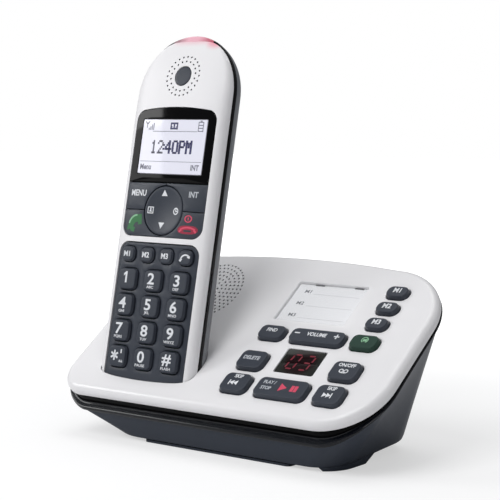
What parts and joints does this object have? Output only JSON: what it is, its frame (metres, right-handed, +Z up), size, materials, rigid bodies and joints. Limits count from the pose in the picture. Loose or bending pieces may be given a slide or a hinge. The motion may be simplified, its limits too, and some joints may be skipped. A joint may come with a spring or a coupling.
{
  "type": "telephone answering machine",
  "caption": "Desktop answering machine with a wedge-shaped base, message keys, a digit window and a cordless handset standing in its cradle.",
  "frame": {"origin": "on the ground under the middle of the machine's box", "axes": "+X to the user's right, +Y to the rear, +Z up; the keys face -Y and +Z"},
  "size_m": [0.1628, 0.079, 0.1735],
  "materials": {
    "white_shell": "satin moulded plastic",
    "black_gloss": "polished",
    "window_lens": "dark red tinted, polished",
    "slate_housing": "fine satin moulded plastic",
    "slate_rubber": "soft matt silicone",
    "green_key": "soft matt silicone, green symbol",
    "red_light": "translucent light guide",
    "grey_shell": "satin moulded plastic",
    "screen": "back-lit liquid crystal display",
    "card_paper": "printed card",
    "clear_cover": "clear plastic sheet",
    "circuit_board": "green solder mask",
    "dark_plastic": "fine spark texture",
    "contact_metal": "plated spring strip",
    "foot_rubber": "matt",
    "cell_sleeve": "shrink sleeve"
  },
  "bodies": {
    "base": {"base_cover": "white_shell", "trim_band": "black_gloss", "display_window": "window_lens", "base_housing": "slate_housing", "memo_card": "card_paper", "memo_cover": "clear_cover", "base_board": "circuit_board", "charging_cradle": "dark_plastic", "power_jack": "dark_plastic", "line_jack": "dark_plastic", "base_speaker": "dark_plastic", "charge_contact_left": "contact_metal", "charge_contact_right": "contact_metal", "front_foot": "foot_rubber", "rear_foot": "foot_rubber", "corner_foot": "foot_rubber"},
    "handset": {"handset_front_shell": "white_shell", "seam_band": "black_gloss", "ringer_light": "red_light", "handset_back_shell": "grey_shell", "battery_pack": "cell_sleeve", "handset_board": "circuit_board", "earpiece_speaker": "dark_plastic", "earpiece_disc": "slate_rubber", "display_bezel": "black_gloss", "screen_module": "screen", "keypad_mat": "slate_rubber"},
    "play_stop_key": {"play_stop_key": "slate_rubber"},
    "skip_back_key": {"skip_back_key": "slate_rubber"},
    "skip_forward_key": {"skip_forward_key": "slate_rubber"},
    "delete_key": {"delete_key": "slate_rubber"},
    "on_off_key": {"on_off_key": "slate_rubber"},
    "find_key": {"find_key": "slate_rubber"},
    "volume_key": {"volume_key": "slate_rubber"},
    "base_memory_key_1": {"base_memory_key_1": "slate_rubber"},
    "base_memory_key_2": {"base_memory_key_2": "slate_rubber"},
    "base_memory_key_3": {"base_memory_key_3": "slate_rubber"},
    "speakerphone_key": {"speakerphone_key": "green_key"},
    "number_key_star": {"number_key_star": "slate_rubber"},
    "number_key_0": {"number_key_0": "slate_rubber"},
    "number_key_hash": {"number_key_hash": "slate_rubber"},
    "number_key_7": {"number_key_7": "slate_rubber"},
    "number_key_8": {"number_key_8": "slate_rubber"},
    "number_key_9": {"number_key_9": "slate_rubber"},
    "number_key_4": {"number_key_4": "slate_rubber"},
    "number_key_5": {"number_key_5": "slate_rubber"},
    "number_key_6": {"number_key_6": "slate_rubber"},
    "number_key_1": {"number_key_1": "slate_rubber"},
    "number_key_2": {"number_key_2": "slate_rubber"},
    "number_key_3": {"number_key_3": "slate_rubber"},
    "memory_key_1": {"memory_key_1": "slate_rubber"},
    "memory_key_2": {"memory_key_2": "slate_rubber"},
    "memory_key_3": {"memory_key_3": "slate_rubber"},
    "handsfree_key": {"handsfree_key": "slate_rubber"},
    "menu_key": {"menu_key": "slate_rubber"},
    "intercom_key": {"intercom_key": "slate_rubber"},
    "talk_key": {"talk_key": "slate_rubber"},
    "end_key": {"end_key": "slate_rubber"},
    "navigation_key": {"navigation_key": "slate_rubber"},
    "battery_door": {"battery_door": "grey_shell"}
  },
  "joints": [
    {"name": "handset_lift", "type": "slide", "parent": "base", "child": "handset", "axis": [0, 0.2079, 0.9781], "range_m": [0, 0.06]},
    {"name": "play_stop_key_press", "type": "slide", "parent": "base", "child": "play_stop_key", "axis": [0, 0.585, -0.8111], "range_m": [0, 0.0012], "stiffness_N_per_m": 800},
    {"name": "skip_back_key_press", "type": "slide", "parent": "base", "child": "skip_back_key", "axis": [0, 0.585, -0.8111], "range_m": [0, 0.0012], "stiffness_N_per_m": 800},
    {"name": "skip_forward_key_press", "type": "slide", "parent": "base", "child": "skip_forward_key", "axis": [0, 0.585, -0.8111], "range_m": [0, 0.0012], "stiffness_N_per_m": 800},
    {"name": "delete_key_press", "type": "slide", "parent": "base", "child": "delete_key", "axis": [0, 0.585, -0.8111], "range_m": [0, 0.0012], "stiffness_N_per_m": 800},
    {"name": "on_off_key_press", "type": "slide", "parent": "base", "child": "on_off_key", "axis": [0, 0.585, -0.8111], "range_m": [0, 0.0012], "stiffness_N_per_m": 800},
    {"name": "find_key_press", "type": "slide", "parent": "base", "child": "find_key", "axis": [0, 0.585, -0.8111], "range_m": [0, 0.0012], "stiffness_N_per_m": 800},
    {"name": "volume_key_rock", "type": "hinge", "parent": "base", "child": "volume_key", "pos_m": [0.0351, -0.00198, 0.04526], "axis": [0, 0.8111, 0.585], "range_deg": [-3, 3], "stiffness_Nm_per_rad": 0.13},
    {"name": "base_memory_key_1_press", "type": "slide", "parent": "base", "child": "base_memory_key_1", "axis": [0, 0.585, -0.8111], "range_m": [0, 0.0012], "stiffness_N_per_m": 800},
    {"name": "base_memory_key_2_press", "type": "slide", "parent": "base", "child": "base_memory_key_2", "axis": [0, 0.585, -0.8111], "range_m": [0, 0.0012], "stiffness_N_per_m": 800},
    {"name": "base_memory_key_3_press", "type": "slide", "parent": "base", "child": "base_memory_key_3", "axis": [0, 0.585, -0.8111], "range_m": [0, 0.0012], "stiffness_N_per_m": 800},
    {"name": "speakerphone_key_press", "type": "slide", "parent": "base", "child": "speakerphone_key", "axis": [0, 0.585, -0.8111], "range_m": [0, 0.0012], "stiffness_N_per_m": 800},
    {"name": "number_key_star_press", "type": "slide", "parent": "handset", "child": "number_key_star", "axis": [0, 0.9781, -0.2079], "range_m": [0, 0.0009], "stiffness_N_per_m": 800},
    {"name": "number_key_0_press", "type": "slide", "parent": "handset", "child": "number_key_0", "axis": [0, 0.9781, -0.2079], "range_m": [0, 0.0009], "stiffness_N_per_m": 800},
    {"name": "number_key_hash_press", "type": "slide", "parent": "handset", "child": "number_key_hash", "axis": [0, 0.9781, -0.2079], "range_m": [0, 0.0009], "stiffness_N_per_m": 800},
    {"name": "number_key_7_press", "type": "slide", "parent": "handset", "child": "number_key_7", "axis": [0, 0.9781, -0.2079], "range_m": [0, 0.0009], "stiffness_N_per_m": 800},
    {"name": "number_key_8_press", "type": "slide", "parent": "handset", "child": "number_key_8", "axis": [0, 0.9781, -0.2079], "range_m": [0, 0.0009], "stiffness_N_per_m": 800},
    {"name": "number_key_9_press", "type": "slide", "parent": "handset", "child": "number_key_9", "axis": [0, 0.9781, -0.2079], "range_m": [0, 0.0009], "stiffness_N_per_m": 800},
    {"name": "number_key_4_press", "type": "slide", "parent": "handset", "child": "number_key_4", "axis": [0, 0.9781, -0.2079], "range_m": [0, 0.0009], "stiffness_N_per_m": 800},
    {"name": "number_key_5_press", "type": "slide", "parent": "handset", "child": "number_key_5", "axis": [0, 0.9781, -0.2079], "range_m": [0, 0.0009], "stiffness_N_per_m": 800},
    {"name": "number_key_6_press", "type": "slide", "parent": "handset", "child": "number_key_6", "axis": [0, 0.9781, -0.2079], "range_m": [0, 0.0009], "stiffness_N_per_m": 800},
    {"name": "number_key_1_press", "type": "slide", "parent": "handset", "child": "number_key_1", "axis": [0, 0.9781, -0.2079], "range_m": [0, 0.0009], "stiffness_N_per_m": 800},
    {"name": "number_key_2_press", "type": "slide", "parent": "handset", "child": "number_key_2", "axis": [0, 0.9781, -0.2079], "range_m": [0, 0.0009], "stiffness_N_per_m": 800},
    {"name": "number_key_3_press", "type": "slide", "parent": "handset", "child": "number_key_3", "axis": [0, 0.9781, -0.2079], "range_m": [0, 0.0009], "stiffness_N_per_m": 800},
    {"name": "memory_key_1_press", "type": "slide", "parent": "handset", "child": "memory_key_1", "axis": [0, 0.9781, -0.2079], "range_m": [0, 0.0009], "stiffness_N_per_m": 800},
    {"name": "memory_key_2_press", "type": "slide", "parent": "handset", "child": "memory_key_2", "axis": [0, 0.9781, -0.2079], "range_m": [0, 0.0009], "stiffness_N_per_m": 800},
    {"name": "memory_key_3_press", "type": "slide", "parent": "handset", "child": "memory_key_3", "axis": [0, 0.9781, -0.2079], "range_m": [0, 0.0009], "stiffness_N_per_m": 800},
    {"name": "handsfree_key_press", "type": "slide", "parent": "handset", "child": "handsfree_key", "axis": [0, 0.9781, -0.2079], "range_m": [0, 0.0009], "stiffness_N_per_m": 800},
    {"name": "menu_key_press", "type": "slide", "parent": "handset", "child": "menu_key", "axis": [0, 0.9781, -0.2079], "range_m": [0, 0.0006], "stiffness_N_per_m": 800},
    {"name": "intercom_key_press", "type": "slide", "parent": "handset", "child": "intercom_key", "axis": [0, 0.9781, -0.2079], "range_m": [0, 0.0006], "stiffness_N_per_m": 800},
    {"name": "talk_key_press", "type": "slide", "parent": "handset", "child": "talk_key", "axis": [0, 0.9781, -0.2079], "range_m": [0, 0.0006], "stiffness_N_per_m": 800},
    {"name": "end_key_press", "type": "slide", "parent": "handset", "child": "end_key", "axis": [0, 0.9781, -0.2079], "range_m": [0, 0.0006], "stiffness_N_per_m": 800},
    {"name": "navigation_key_tilt", "type": "hinge", "parent": "handset", "child": "navigation_key", "pos_m": [-0.0371, -0.01234, 0.09773], "axis": [1, 0, 0], "range_deg": [-3, 3], "stiffness_Nm_per_rad": 0.13},
    {"name": "battery_door_lift", "type": "slide", "parent": "handset", "child": "battery_door", "axis": [0, 0.9781, -0.2079], "range_m": [0, 0.008]}
  ]
}
